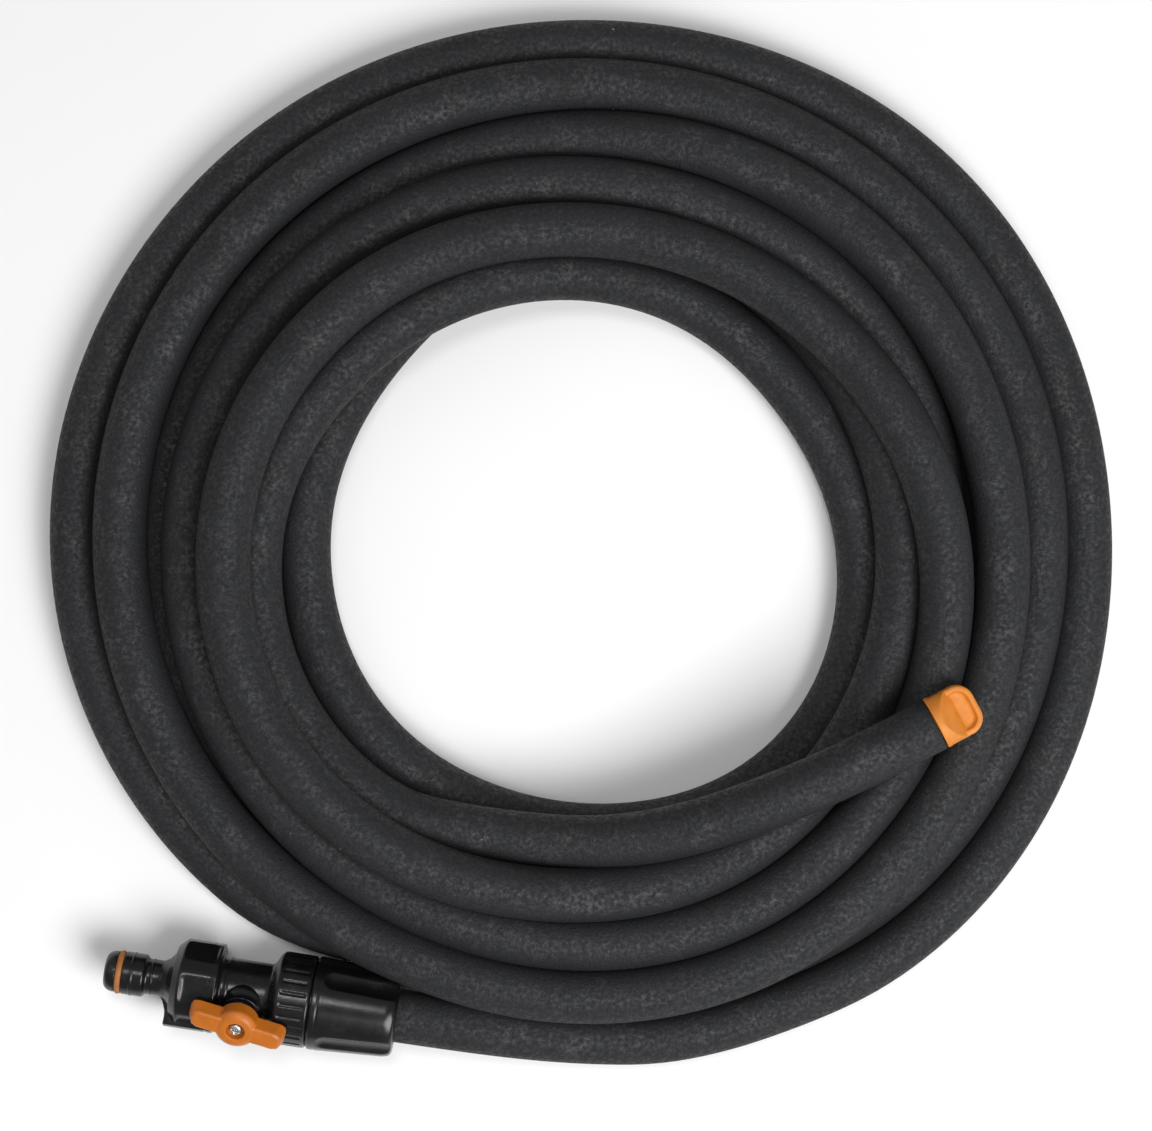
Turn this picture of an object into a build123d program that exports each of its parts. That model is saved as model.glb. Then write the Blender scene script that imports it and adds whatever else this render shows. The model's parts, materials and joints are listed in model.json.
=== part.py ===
from build123d import *
from math import atan2, degrees, pi, radians, sqrt, tan
import os

# Soaker hose, coiled flat: a porous rubber hose with a ball valve at its inlet end
# and a plug in its far end.
# Millimetres, +Z up. The origin is on the floor at the middle of the coil.

# Hose
HOSE_R = 9.75
HOSE_BORE_R = 6.5
HOSE_SECTION = pi * (HOSE_R**2 - HOSE_BORE_R**2)

# Coil: the outer shape of all the turns together
COIL_R = 194.0
COIL_HOLE_R = 95.0
COIL_HOLE_CENTRE = (2.5, -4.0)
COIL_SHOULDER_Z = 17.0
COIL_CROWN_R = 176.0
COIL_CROWN_Z = 37.0
COIL_TOP_R = 112.0
COIL_TOP_Z = 40.0
COIL_INNER_SHOULDER_Z = 24.0
COIL_EDGE_FILLET = 9.0

# Valve: it lies on the floor with its axis level. Distances along the axis start
# at the nipple's tip and run with the water.
VALVE_TIP = (-172.8, -155.7, 17.0)
VALVE_TURN = -9.0
STEM_X = 52.0
STEM_LEAN = 29.0
HANDLE_TURN = -10.0

NIPPLE_R = 7.8
NIPPLE_BORE_R = 4.5
WAIST_R = 6.5
SKIRT_R = 16.0
SKIRT_START = 25.4
SKIRT_END = 42.0
SKIRT_CHAMFER = 3.0
SKIRT_LUG_R = 16.8
SKIRT_LUG_WIDTH = 15.0
SOCKET_R = 13.4
SOCKET_FLOOR = 27.4

INLET_THREAD_R = 13.1
INLET_THREAD_START = 30.0
WATERWAY_R = 5.0
BARREL_R = 11.5
CAVITY_R = 9.2
CAVITY_START = 43.6
OUTLET_R = 16.9
OUTLET_START = 63.0
OUTLET_END = 76.4
OUTLET_THREAD_R = 14.2
OUTLET_THREAD_END = 88.0
BOSS_R = 7.3
BOSS_TOP = 13.5
BOSS_BORE_R = 5.6

BALL_R = 8.0
BALL_BORE_R = 4.5
SEAT_CLEARANCE = 0.05
SEAT_LENGTH = 3.4
SEAT_BORE_R = 5.0

STEM_R = 3.0
STEM_TOP = 20.0
GLAND_TOP = 16.1
HANDLE_BOTTOM = 16.5
WING_BOTTOM = 17.8
HANDLE_TOP = 24.0
HUB_R = 7.8
WING_REACH = 18.0
WING_WIDTH = 9.8
WING_TAPER = 14.0

HOSE_START = 80.0
COLLAR_START = 76.8
COLLAR_END = 108.0
COLLAR_R = 17.0
COLLAR_REAR_R = 15.4
COLLAR_SCALLOPS = 4
COLLAR_SCALLOP_TURN = 49.0

# End plug
PLUG_BAND = 3.0
PLUG_SHOULDER_END = 8.2
PLUG_LENGTH = 16.6
PLUG_TAB_WIDTH = 18.6
PLUG_TAB_THICKNESS = 6.8
PLUG_TIP_CORNER_R = 6.2
PLUG_RIM = 2.6
PLUG_RECESS_DEPTH = 1.6
PLUG_BARB_R = 6.45
PLUG_BARB_LENGTH = 13.0

# Routes of the two stretches of hose outside the coil, as hand-set points.
# The lead is in the valve's own frame: along its axis, across it, and up from it.
LEAD_ROUTE = [(HOSE_START, 0, 0), (126, 0, 0), (172, 0.8, -6.6), (214, 7.3, -7.25)]
TAIL_ROUTE = [
    (0, -109.5, 29),
    (37.5, -104, 36),
    (73, -90.8, 42.5),
    (102.7, -77.2, 46.5),
    (127, -64.1, 47.5),
]

VALVE = Location(VALVE_TIP, (0, 0, VALVE_TURN))
STEM = VALVE * Location((STEM_X, 0, 0), (STEM_LEAN, 0, 0))
STEM_TURNED = STEM * Location((0, 0, 0), (0, 0, HANDLE_TURN))


def turned(*outline):
    """A solid turned about X from the corners of its half section: (x, radius)."""
    corners = [(x, 0, r) for x, r in outline]
    return revolve(make_face(Polyline(*corners, close=True)), Axis.X)


def turned_up(*outline):
    """A solid turned about Z from the corners of its half section: (radius, z)."""
    corners = [(r, 0, z) for r, z in outline]
    return revolve(make_face(Polyline(*corners, close=True)), Axis.Z)


def rod(radius, bottom, top):
    """A cylinder about Z between two heights."""
    return Pos(0, 0, bottom) * Cylinder(
        radius, top - bottom, align=(Align.CENTER, Align.CENTER, Align.MIN)
    )


def o_ring(ring_r, cord_r):
    return Torus(ring_r, cord_r)


# ---- inlet: quick-connect nipple with a threaded skirt ----


def tap_adaptor():
    outside = turned(
        (0, NIPPLE_BORE_R),
        (0, 5.6),
        (1.2, 6.9),
        (3.0, 7.5),
        (4.1, 7.5),
        (4.1, 5.55),
        (6.7, 5.55),
        (6.7, NIPPLE_R),
        (9.6, NIPPLE_R),
        (9.8, NIPPLE_R + 0.2),
        (10.4, NIPPLE_R + 0.2),
        (10.6, NIPPLE_R),
        (14.4, NIPPLE_R),
        (15.4, WAIST_R),
        (21.0, WAIST_R),
        (23.2, 8.0),
        (SKIRT_START, 11.0),
        (SKIRT_START, SKIRT_R - SKIRT_CHAMFER),
        (SKIRT_START + SKIRT_CHAMFER, SKIRT_R),
        (SKIRT_END, SKIRT_R),
        (SKIRT_END, SOCKET_R),
        (SOCKET_FLOOR, SOCKET_R),
        (SOCKET_FLOOR, NIPPLE_BORE_R),
    )
    # Grip flats: six shallow facets round the skirt.
    flat_distance = SKIRT_R - 0.9
    facet = Pos((SKIRT_START + SKIRT_END) / 2, 0, flat_distance + 2) * Box(12, 14, 4)
    for turn in range(6):
        outside -= Rot(60 * turn, 0, 0) * facet
    # On one side a square-fronted grip lug stands out of the skirt.
    lug_side = [
        (21.5, -WAIST_R + 0.5),
        (SKIRT_START - 1.2, -12.0),
        (SKIRT_START - 1.2, -SKIRT_LUG_R),
        (SKIRT_END, -SKIRT_LUG_R),
        (SKIRT_END, -WAIST_R + 0.5),
    ]
    lug = extrude(make_face(Polyline(*lug_side, close=True)), SKIRT_LUG_WIDTH / 2, both=True)
    lug &= Rot(0, 90, 0) * Cylinder(SKIRT_LUG_R, 2 * SKIRT_END)
    lug -= turned(
        (0, 0),
        (0, NIPPLE_BORE_R),
        (SOCKET_FLOOR, NIPPLE_BORE_R),
        (SOCKET_FLOOR, SOCKET_R),
        (SKIRT_END, SOCKET_R),
        (SKIRT_END, 0),
    )
    return VALVE * (outside + lug)


def nipple_o_ring():
    return VALVE * Pos(5.4, 0, 0) * Rot(0, 90, 0) * o_ring(6.8, 1.2)


def inlet_washer():
    return VALVE * turned((27.5, 5.5), (27.5, 12.6), (29.9, 12.6), (29.9, 5.5))


# ---- ball valve ----


def valve_body():
    body = turned(
        (INLET_THREAD_START, 0),
        (INLET_THREAD_START, INLET_THREAD_R - 0.8),
        (INLET_THREAD_START + 0.8, INLET_THREAD_R),
        (SKIRT_END + 0.2, INLET_THREAD_R),
        (SKIRT_END + 0.9, BARREL_R),
        (OUTLET_START - 1.5, BARREL_R),
        (OUTLET_START, OUTLET_R - 1.2),
        (OUTLET_START + 1.2, OUTLET_R),
        (OUTLET_END - 0.6, OUTLET_R),
        (OUTLET_END, OUTLET_R - 0.6),
        (OUTLET_END, OUTLET_THREAD_R),
        (OUTLET_THREAD_END, OUTLET_THREAD_R),
        (OUTLET_THREAD_END, 0),
    )
    lean = Location((STEM_X, 0, 0), (STEM_LEAN, 0, 0))
    body += lean * rod(BOSS_R, 0, BOSS_TOP)
    # Shallow grip grooves along the outlet section.
    groove = Pos((OUTLET_START + OUTLET_END) / 2, 0, OUTLET_R + 0.5) * Box(8, 1.6, 2)
    for turn in range(12):
        body -= Rot(30 * turn + 15, 0, 0) * groove
    body -= turned(
        (INLET_THREAD_START, 0),
        (INLET_THREAD_START, WATERWAY_R),
        (CAVITY_START, WATERWAY_R),
        (CAVITY_START, CAVITY_R),
        (79.0, CAVITY_R),
        (79.0, HOSE_R + 0.45),
        (OUTLET_THREAD_END, HOSE_R + 0.45),
        (OUTLET_THREAD_END, 0),
    )
    body -= lean * rod(BOSS_BORE_R, 0, BOSS_TOP)
    return VALVE * body


def ball():
    sphere = Sphere(BALL_R)
    sphere -= Rot(0, 90, 0) * Cylinder(BALL_BORE_R, 3 * BALL_R)
    sphere -= Pos(0, 0, 5 + BALL_R / 2) * Box(6.6, 2.6, BALL_R)
    return STEM_TURNED * sphere


def seat(side):
    """A seat ring with a cone tangent to the ball, on its inlet (-1) or outlet (1) side."""
    far = STEM_X - CAVITY_START
    near = far - SEAT_LENGTH
    # On the tangent cone, distance from the ball's centre plus radius is constant.
    cone_sum = (BALL_R + SEAT_CLEARANCE) * sqrt(2)
    half_section = [
        (far, SEAT_BORE_R),
        (far, CAVITY_R - 0.1),
        (near, CAVITY_R - 0.1),
        (near, cone_sum - near),
        (cone_sum - SEAT_BORE_R, SEAT_BORE_R),
    ]
    return VALVE * turned(*[(STEM_X + side * x, r) for x, r in half_section])


def inlet_seat():
    return seat(-1)


def outlet_seat():
    return seat(1)


def stem():
    """Blade in the ball's slot, retaining flange, grooved shaft, square for the handle."""
    shaft = turned_up(
        (0, 8.5),
        (4.8, 8.5),
        (4.8, 10.2),
        (STEM_R, 10.2),
        (STEM_R, 11.2),
        (2.25, 11.2),
        (2.25, 12.8),
        (STEM_R, 12.8),
        (STEM_R, 13.5),
        (2.25, 13.5),
        (2.25, 15.1),
        (STEM_R, 15.1),
        (STEM_R, HANDLE_BOTTOM),
        (0, HANDLE_BOTTOM),
    )
    blade = Pos(0, 0, 7.0) * Box(6.0, 2.2, 3.2)
    square = Pos(0, 0, (HANDLE_BOTTOM + STEM_TOP) / 2) * Box(4, 4, STEM_TOP - HANDLE_BOTTOM)
    return STEM_TURNED * (shaft + blade + square - rod(1.3, 12.5, STEM_TOP))


def stem_o_ring(height):
    return STEM * Pos(0, 0, height) * o_ring(2.98, 0.7)


def stem_gland():
    """Ring that closes the boss and holds the stem in."""
    ring = turned_up(
        (STEM_R + 0.75, 10.5),
        (BOSS_BORE_R - 0.05, 10.5),
        (BOSS_BORE_R - 0.05, BOSS_TOP),
        (6.9, BOSS_TOP),
        (6.9, GLAND_TOP - 0.6),
        (6.3, GLAND_TOP),
        (STEM_R + 0.75, GLAND_TOP),
    )
    return STEM * ring


def handle():
    hub = rod(HUB_R, HANDLE_BOTTOM, HANDLE_TOP)
    hub = fillet(hub.edges().group_by(Axis.Z)[-1], 1.6)
    half = WING_WIDTH / 2
    wing_corners = [
        (0, -half - 0.3),
        (9, -half),
        (WING_REACH - 1.5, -half),
        (WING_REACH, -half + 1.9),
        (WING_REACH - 0.5, half - 1.4),
        (WING_REACH - 2.0, half),
        (9, half),
        (0, half + 0.3),
    ]
    outline = Pos(0, 0, WING_BOTTOM) * make_face(Polyline(*wing_corners, close=True))
    wing = extrude(outline, HANDLE_TOP - WING_BOTTOM - 0.4, taper=WING_TAPER)
    wing = fillet(wing.edges().group_by(Axis.Z)[-1], 0.8)
    grip = hub + wing + Rot(0, 0, 180) * wing
    grip -= rod(3.25, HANDLE_TOP - 2.4, HANDLE_TOP)
    grip -= rod(1.7, HANDLE_BOTTOM, HANDLE_TOP)
    socket_height = STEM_TOP + 0.1 - HANDLE_BOTTOM
    grip -= Pos(0, 0, HANDLE_BOTTOM + socket_height / 2) * Box(4.2, 4.2, socket_height)
    return STEM_TURNED * grip


def handle_screw():
    head_bottom = HANDLE_TOP - 2.35
    head = rod(2.4, head_bottom, HANDLE_TOP - 0.6)
    head = fillet(head.edges().group_by(Axis.Z)[-1], 0.8)
    slot = Pos(0, 0, HANDLE_TOP - 0.6) * Box(2.6, 0.7, 1.6)
    screw = head + rod(1.25, 12.7, head_bottom) - slot - Rot(0, 0, 90) * slot
    return STEM_TURNED * screw


# ---- outlet: barbed tail, grip ring and collar nut ----


def barbed_tail():
    """Plug that holds the ball in, with a barb for the hose."""
    start = 2 * STEM_X - CAVITY_START + 0.05
    barbs = []
    for step in range(4):
        foot = 82.5 + 5.2 * step
        barbs += [(foot, HOSE_BORE_R - 0.05), (foot + 0.6, HOSE_BORE_R - 0.05)]
        barbs += [(foot + 4.8, HOSE_BORE_R - 0.5)]
    tail = turned(
        (start, SEAT_BORE_R),
        (start, CAVITY_R - 0.1),
        (66.4, CAVITY_R - 0.1),
        (66.4, 7.75),
        (68.8, 7.75),
        (68.8, CAVITY_R - 0.1),
        (79.0, CAVITY_R - 0.1),
        (79.0, HOSE_BORE_R - 0.5),
        *barbs,
        (103.6, 5.4),
        (103.6, 4.6),
        (80.0, 4.6),
        (76.0, SEAT_BORE_R),
    )
    return VALVE * tail


def tail_o_ring():
    return VALVE * Pos(67.6, 0, 0) * Rot(0, 90, 0) * o_ring(8.46, 0.7)


def grip_ring():
    """Split cone that the collar squeezes on to the hose."""
    bore = HOSE_R + 0.35
    ring = turned((88.6, bore), (88.6, 13.1), (90.5, 13.1), (103.0, 11.2), (103.0, bore))
    ring -= Pos(96, 0, 12) * Box(20, 1.6, 8)
    return VALVE * ring


def collar_nut():
    nut = turned(
        (COLLAR_START, OUTLET_THREAD_R + 0.3),
        (COLLAR_START, COLLAR_R - 0.5),
        (COLLAR_START + 0.5, COLLAR_R),
        (COLLAR_START + 3.0, COLLAR_R),
        (COLLAR_END - 3.0, COLLAR_REAR_R),
        (COLLAR_END - 1.0, COLLAR_REAR_R - 0.6),
        (COLLAR_END, COLLAR_REAR_R - 2.0),
        (COLLAR_END, HOSE_R + 0.65),
        (104.2, HOSE_R + 0.65),
        (103.4, 11.5),
        (90.6, 13.5),
        (90.6, OUTLET_THREAD_R + 0.3),
    )
    cutter_r = 6.0
    depth = 1.3
    slope = degrees(atan2(COLLAR_R - COLLAR_REAR_R, COLLAR_END - 6.0 - COLLAR_START))
    start = Pos(COLLAR_START + 7.5, 0, COLLAR_R - 0.2 + cutter_r - depth)
    cutter = Sphere(cutter_r) + Rot(0, 90 + slope, 0) * rod(cutter_r, 0, 40)
    for turn in range(COLLAR_SCALLOPS):
        angle = COLLAR_SCALLOP_TURN + 360 / COLLAR_SCALLOPS * turn
        nut -= Rot(angle, 0, 0) * start * cutter
    return VALVE * nut


# ---- hose ----


def arc_radii(points):
    """For each corner, the largest radius that its two runs allow."""
    radii = []
    for before, corner, after in zip(points, points[1:], points[2:]):
        run_in = Vector(corner) - Vector(before)
        run_out = Vector(after) - Vector(corner)
        shorter = min(run_in.length, run_out.length)
        radii.append(0.45 * shorter / tan(radians(run_in.get_angle(run_out) / 2)))
    return radii


def hose_along(name, points):
    """A hose tube along straight runs joined by tangent arcs."""
    radii = arc_radii(points)
    path = FilletPolyline(*points, radius=radii)
    start = Plane(origin=points[0], z_dir=Vector(points[1]) - Vector(points[0]))
    section = start * (Circle(HOSE_R) - Circle(HOSE_BORE_R))
    tube = sweep(section, path)
    expected = HOSE_SECTION * path.length
    print(name, "length", round(path.length, 1), "radii", [round(r) for r in radii])
    print(name, "volume over section times length", round(tube.volume / expected, 4))
    return tube


def hose_lead():
    return VALVE * hose_along("hose_lead", LEAD_ROUTE)


def hose_tail():
    return hose_along("hose_tail", TAIL_ROUTE)


def hose_coil():
    """The outer shape of the wound turns, with room for the valve and the plug."""
    corners = [
        (0, 0),
        (COIL_R, 0),
        (COIL_R, COIL_SHOULDER_Z),
        (COIL_CROWN_R, COIL_CROWN_Z),
        (COIL_TOP_R, COIL_TOP_Z),
        (0, COIL_TOP_Z),
    ]
    coil = turned_up(*corners)
    rims = [e for e in coil.edges() if e.geom_type == GeomType.CIRCLE]
    rims = [e for e in rims if e.radius > COIL_TOP_R + 1]
    coil = fillet(rims, COIL_EDGE_FILLET)
    hole = rod(COIL_HOLE_R, 0, COIL_TOP_Z)
    shoulder = turned_up(
        (0, COIL_INNER_SHOULDER_Z),
        (COIL_HOLE_R, COIL_INNER_SHOULDER_Z),
        (COIL_TOP_R, COIL_TOP_Z),
        (0, COIL_TOP_Z),
    )
    coil -= Pos(*COIL_HOLE_CENTRE, 0) * (hole + shoulder)
    room_length = 300.0
    room_start = LEAD_ROUTE[-1][0] - 1.0
    room = Pos(room_start - room_length / 2, COLLAR_R + 0.6 - 100, 0) * Box(room_length, 200, 120)
    coil -= VALVE * room
    plug_room = Pos(0, 0, PLUG_LENGTH / 2 + 30) * Box(2 * HOSE_R + 3, 40, PLUG_LENGTH + 62)
    coil -= plug_plane().location * Pos(0, 20 - HOSE_R - 0.6, 0) * plug_room
    return coil


# ---- end plug ----


def plug_plane():
    """At the hose's far end face: +Z points out of the hose and +Y upwards."""
    out = Vector(TAIL_ROUTE[-1]) - Vector(TAIL_ROUTE[-2])
    across = out.cross(Vector(0, 0, 1))
    return Plane(origin=TAIL_ROUTE[-1], x_dir=across * -1, z_dir=out)


def end_plug():
    """Barb, round band, and a flat finger tab with a recess in its upper face."""
    barb = turned_up(
        (0, -PLUG_BARB_LENGTH),
        (5.4, -PLUG_BARB_LENGTH),
        (PLUG_BARB_R, -PLUG_BARB_LENGTH + 3.5),
        (5.9, -PLUG_BARB_LENGTH + 3.6),
        (PLUG_BARB_R, -PLUG_BARB_LENGTH + 7.5),
        (5.9, -PLUG_BARB_LENGTH + 7.6),
        (5.9, 0.3),
        (0, 0.3),
    )
    # Round band, then two flat ramps, upper and lower, that slope down to the tab.
    half_thick = PLUG_TAB_THICKNESS / 2
    ramp_side = [
        (-HOSE_R, 0.3),
        (HOSE_R, 0.3),
        (HOSE_R, PLUG_BAND),
        (half_thick, PLUG_SHOULDER_END),
        (-half_thick, PLUG_SHOULDER_END),
        (-HOSE_R, PLUG_BAND),
    ]
    ramps = extrude(Plane.YZ * make_face(Polyline(*ramp_side, close=True)), HOSE_R, both=True)
    band = rod(HOSE_R, 0.3, PLUG_SHOULDER_END) & ramps
    tab_length = PLUG_LENGTH - PLUG_BAND + 1.0
    tab = Pos(0, 0, PLUG_LENGTH - tab_length / 2) * Box(
        PLUG_TAB_WIDTH, PLUG_TAB_THICKNESS, tab_length
    )
    tip_corners = tab.edges().filter_by(Axis.Y).group_by(Axis.Z)[-1]
    tab = fillet(tip_corners, PLUG_TIP_CORNER_R)
    recess_length = PLUG_LENGTH - PLUG_SHOULDER_END - PLUG_RIM
    recess = Pos(0, half_thick, PLUG_LENGTH - PLUG_RIM - recess_length / 2) * Box(
        PLUG_TAB_WIDTH - 2 * PLUG_RIM, 2 * PLUG_RECESS_DEPTH, recess_length
    )
    tip_corners = recess.edges().filter_by(Axis.Y).group_by(Axis.Z)[-1]
    recess = fillet(tip_corners, PLUG_TIP_CORNER_R - PLUG_RIM)
    tab -= recess
    return plug_plane().location * (barb + band + tab)


PARTS = {
    "tap_adaptor": tap_adaptor,
    "nipple_o_ring": nipple_o_ring,
    "inlet_washer": inlet_washer,
    "valve_body": valve_body,
    "inlet_seat": inlet_seat,
    "ball": ball,
    "outlet_seat": outlet_seat,
    "stem": stem,
    "stem_o_ring_lower": lambda: stem_o_ring(12.0),
    "stem_o_ring_upper": lambda: stem_o_ring(14.3),
    "stem_gland": stem_gland,
    "handle": handle,
    "handle_screw": handle_screw,
    "barbed_tail": barbed_tail,
    "tail_o_ring": tail_o_ring,
    "grip_ring": grip_ring,
    "collar_nut": collar_nut,
    "hose_lead": hose_lead,
    "hose_coil": hose_coil,
    "hose_tail": hose_tail,
    "end_plug": end_plug,
}

os.makedirs("parts", exist_ok=True)
for node, make in PARTS.items():
    export_step(make(), f"parts/{node}.step")
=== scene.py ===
import json
import math

import bmesh
import bpy
import numpy as np
from mathutils import Matrix, Vector


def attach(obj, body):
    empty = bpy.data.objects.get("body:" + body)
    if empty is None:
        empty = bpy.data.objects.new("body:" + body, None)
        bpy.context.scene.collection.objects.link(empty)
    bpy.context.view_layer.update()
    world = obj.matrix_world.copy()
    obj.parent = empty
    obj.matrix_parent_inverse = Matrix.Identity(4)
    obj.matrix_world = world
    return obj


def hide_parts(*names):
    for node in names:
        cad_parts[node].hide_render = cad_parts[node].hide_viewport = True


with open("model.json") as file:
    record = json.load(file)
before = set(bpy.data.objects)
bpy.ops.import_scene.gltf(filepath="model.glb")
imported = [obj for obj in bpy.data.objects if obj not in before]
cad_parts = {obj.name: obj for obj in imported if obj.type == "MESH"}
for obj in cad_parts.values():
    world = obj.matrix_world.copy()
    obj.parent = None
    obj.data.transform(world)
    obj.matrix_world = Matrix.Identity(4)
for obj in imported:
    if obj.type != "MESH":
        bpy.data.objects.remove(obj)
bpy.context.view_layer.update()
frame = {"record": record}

MM = 0.001

# ---- camera: straight down, over the middle of the coil ----

camera_data = bpy.data.cameras.new("camera")
camera_data.sensor_width = 36.0
camera_data.lens = 92.4
camera = bpy.data.objects.new("camera", camera_data)
camera.location = (-0.0007, -0.0077, 1.1)
bpy.context.scene.collection.objects.link(camera)
bpy.context.scene.camera = camera

# ---- the valve's own frame: X along the water's way from the nipple's tip ----

joints = {joint["name"]: joint for joint in frame["record"]["behaviour"]["joints"]}


def joint_line(name):
    joint = joints[name]
    return Vector(joint.get("pos_m", (0, 0, 0))), Vector(joint["axis"]).normalized()


def frame_at(origin, x_axis, z_axis):
    """A frame with its origin, its Z along z_axis and its X nearest x_axis."""
    up = Vector(z_axis).normalized()
    side = (Vector(x_axis) - Vector(x_axis).dot(up) * up).normalized()
    return Matrix.Translation(origin) @ Matrix((side, up.cross(side), up)).transposed().to_4x4()


# Turned pieces are made about their own X, and this carries that X to a frame's Z.
ABOUT_Z = Matrix(((0, 1, 0, 0), (0, 0, 1, 0), (1, 0, 0, 0), (0, 0, 0, 1)))

STEM_X = 52.0
HANDLE_TURN = -10.0
stem_foot, stem_axis = joint_line("handle_turn")
along = joint_line("collar_turn")[1]
valve = frame_at(stem_foot - STEM_X * MM * along, along, (0, 0, 1))
stem = frame_at(stem_foot, along, stem_axis)
grip = stem @ Matrix.Rotation(math.radians(HANDLE_TURN), 4, "Z")


# ---- node graph helpers ----


class Look:
    """A material's node graph, built from a few short calls."""

    def __init__(self, name, roughness=0.5, **fixed):
        self.material = bpy.data.materials.new(name)
        self.material.use_nodes = True
        self.tree = self.material.node_tree
        self.shader = self.tree.nodes["Principled BSDF"]
        self.shader.inputs["Roughness"].default_value = roughness
        for socket, value in fixed.items():
            self.shader.inputs[socket.replace("_", " ")].default_value = value

    def node(self, kind, **inputs):
        made = self.tree.nodes.new("ShaderNode" + kind)
        for socket, value in inputs.items():
            self.feed(made.inputs[socket.replace("_", " ")], value)
        return made

    def feed(self, socket, value):
        if isinstance(value, bpy.types.NodeSocket):
            self.tree.links.new(value, socket)
        else:
            socket.default_value = value

    def place(self):
        return self.node("TexCoord").outputs["Object"]

    def scaled(self, vector, scale):
        return self.node("Mapping", Vector=vector, Scale=scale).outputs["Vector"]

    def noise(self, vector, scale, detail=2.0, roughness=0.5):
        made = self.node("TexNoise", Vector=vector, Scale=scale, Detail=detail, Roughness=roughness)
        return made.outputs["Fac"]

    def ramp(self, value, *stops):
        """A colour or grey for each (position, value) stop."""
        made = self.node("ValToRGB", Fac=value)
        line = made.color_ramp
        while len(line.elements) < len(stops):
            line.elements.new(0.5)
        for element, (position, colour) in zip(line.elements, stops):
            element.position = position
            element.color = (*colour, 1) if isinstance(colour, tuple) else (colour,) * 3 + (1,)
        return made.outputs["Color"]

    def mix(self, factor, low, high, blend="MIX"):
        made = self.tree.nodes.new("ShaderNodeMix")
        made.data_type = "RGBA"
        made.blend_type = blend
        for socket, value in ((made.inputs[0], factor), (made.inputs[6], low), (made.inputs[7], high)):
            self.feed(socket, (*value, 1) if isinstance(value, tuple) else value)
        return made.outputs[2]

    def sum(self, first, second, operation="ADD"):
        made = self.tree.nodes.new("ShaderNodeMath")
        made.operation = operation
        self.feed(made.inputs[0], first)
        self.feed(made.inputs[1], second)
        return made.outputs[0]

    def bump(self, height, distance, strength=1.0, under=None):
        made = self.node("Bump", Height=height, Distance=distance, Strength=strength)
        if under is not None:
            self.feed(made.inputs["Normal"], under)
        return made.outputs["Normal"]

    def set(self, **outputs):
        for socket, value in outputs.items():
            self.feed(self.shader.inputs[socket.replace("_", " ")], value)
        return self.material


def rubber_hose():
    """Porous crumb rubber: crumbs and pits a millimetre or two across, striations round the
    hose, pale flecks, and a painted highlight along the upper crests, broken into speckle."""
    look = Look("porous_rubber", Specular_IOR_Level=0.34)
    run = look.node("UVMap").outputs["UV"]
    round_streaks = look.noise(look.scaled(run, (1400, 120, 1)), 1.0, 3.0, 0.6)
    broad_streaks = look.noise(look.scaled(run, (330, 38, 1)), 1.0, 2.0, 0.5)
    place = look.place()
    crumbs = look.noise(place, 620, 3.0, 0.6)
    grain = look.noise(place, 1700, 3.0, 0.6)
    pits = look.node("TexVoronoi", Vector=place, Scale=760.0).outputs["Distance"]
    clouds = look.noise(place, 26, 4.0, 0.6)
    highlight_speckle = look.noise(place, 75, 6.0, 0.78)
    flecks = look.noise(place, 420, 1.0, 0.4)
    upward = look.node("SeparateXYZ", Vector=look.node("NewGeometry").outputs["Normal"]).outputs["Z"]
    # Painted highlight: how far a face looks up, used to lighten the crests where the light catches them.
    painted_top_highlight = look.ramp(upward, (0.45, 0.0), (0.97, 1.0))

    cloudy = look.ramp(clouds, (0.3, 0.0), (0.72, 1.0))
    colour = look.mix(cloudy, (0.0082, 0.0086, 0.0098), (0.0140, 0.0146, 0.0164))
    colour = look.mix(look.ramp(round_streaks, (0.32, 0.0), (0.7, 0.55)), colour, (0.0215, 0.0222, 0.0245))
    colour = look.mix(look.ramp(crumbs, (0.50, 0.0), (0.70, 0.6)), colour, (0.0275, 0.0280, 0.0305))
    colour = look.mix(look.ramp(grain, (0.36, 0.6), (0.50, 0.0)), colour, (0.0035, 0.0036, 0.0040))
    # Painted highlight: the upward faces are paled in speckle, in place of the light caught along the crests.
    pale_marks = look.sum(look.ramp(highlight_speckle, (0.52, 0.0), (0.70, 0.75)), painted_top_highlight, "MULTIPLY")
    pale_marks = look.sum(pale_marks, look.ramp(crumbs, (0.40, 0.0), (0.60, 1.0)), "MULTIPLY")
    colour = look.mix(pale_marks, colour, (0.066, 0.066, 0.069))
    colour = look.mix(look.ramp(flecks, (0.845, 0.0), (0.870, 0.9)), colour, (0.30, 0.29, 0.27))
    roughness = look.ramp(crumbs, (0.35, 0.86), (0.66, 0.50))

    normal = look.bump(broad_streaks, 0.00026, 0.6)
    normal = look.bump(round_streaks, 0.00018, 0.6, under=normal)
    normal = look.bump(crumbs, 0.00034, 0.7, under=normal)
    pitted = look.sum(grain, look.ramp(pits, (0.05, 0.0), (0.5, 1.0)), "MULTIPLY")
    normal = look.bump(pitted, 0.00022, 0.7, under=normal)
    return look.set(Base_Color=colour, Roughness=roughness, Normal=normal)


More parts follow.
